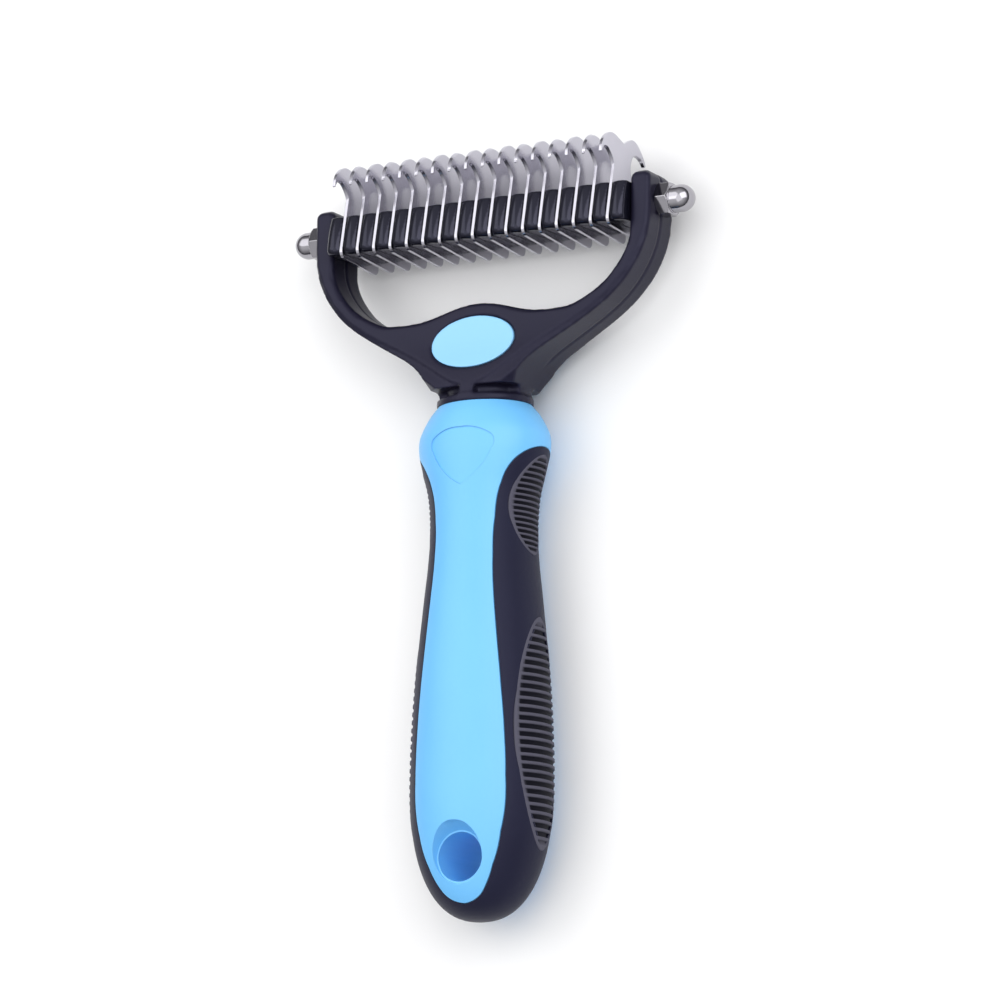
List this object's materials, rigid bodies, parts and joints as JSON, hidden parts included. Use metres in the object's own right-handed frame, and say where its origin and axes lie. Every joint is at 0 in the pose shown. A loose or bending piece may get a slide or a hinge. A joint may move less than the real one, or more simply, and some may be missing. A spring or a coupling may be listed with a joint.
{
  "type": "dematting comb",
  "caption": "Two-sided pet dematting comb: a rake of thin hooked steel blades clamped across a black fork on a moulded blue handle with a soft ribbed grip",
  "frame": {"origin": "middle of the base of the comb's box, as it lies on its back", "axes": "+X along the blade rod, +Y from the handle's end to the hooks, +Z out of the front, the side of the long row of hooks"},
  "size_m": [0.103, 0.1749, 0.0268],
  "materials": {
    "fork_plastic": "fine-grained black moulding",
    "badge_plastic": "satin pale sky blue",
    "blade_steel": "polished stainless steel, ground edges",
    "rod_steel": "plain steel",
    "nut_chrome": "bright chrome plate",
    "spacer_plastic": "glossy black moulding",
    "core_plastic": "satin sky blue moulding",
    "grip_rubber": "matte dark soft grip",
    "pad_rubber": "matte grey ribbed soft pad"
  },
  "bodies": {
    "root": {"fork_yoke": "fork_plastic", "badge_oval_front": "badge_plastic", "badge_oval_rear": "badge_plastic", "blade_rod": "rod_steel", "key_pin": "rod_steel", "cap_nut_left": "nut_chrome", "cap_nut_right": "nut_chrome", "blade_01": "blade_steel", "blade_02": "blade_steel", "blade_03": "blade_steel", "blade_04": "blade_steel", "blade_05": "blade_steel", "blade_06": "blade_steel", "blade_07": "blade_steel", "blade_08": "blade_steel", "blade_09": "blade_steel", "blade_10": "blade_steel", "blade_11": "blade_steel", "blade_12": "blade_steel", "blade_13": "blade_steel", "blade_14": "blade_steel", "blade_15": "blade_steel", "blade_16": "blade_steel", "blade_17": "blade_steel", "spacer_01": "spacer_plastic", "spacer_02": "spacer_plastic", "spacer_03": "spacer_plastic", "spacer_04": "spacer_plastic", "spacer_05": "spacer_plastic", "spacer_06": "spacer_plastic", "spacer_07": "spacer_plastic", "spacer_08": "spacer_plastic", "spacer_09": "spacer_plastic", "spacer_10": "spacer_plastic", "spacer_11": "spacer_plastic", "spacer_12": "spacer_plastic", "spacer_13": "spacer_plastic", "spacer_14": "spacer_plastic", "spacer_15": "spacer_plastic", "spacer_16": "spacer_plastic", "end_spacer_left": "spacer_plastic", "end_spacer_right": "spacer_plastic", "handle_core": "core_plastic", "grip_overmold": "grip_rubber", "grip_pad_upper_left": "pad_rubber", "grip_pad_upper_right": "pad_rubber", "grip_pad_lower_left": "pad_rubber", "grip_pad_lower_right": "pad_rubber"}
  },
  "joints": []
}
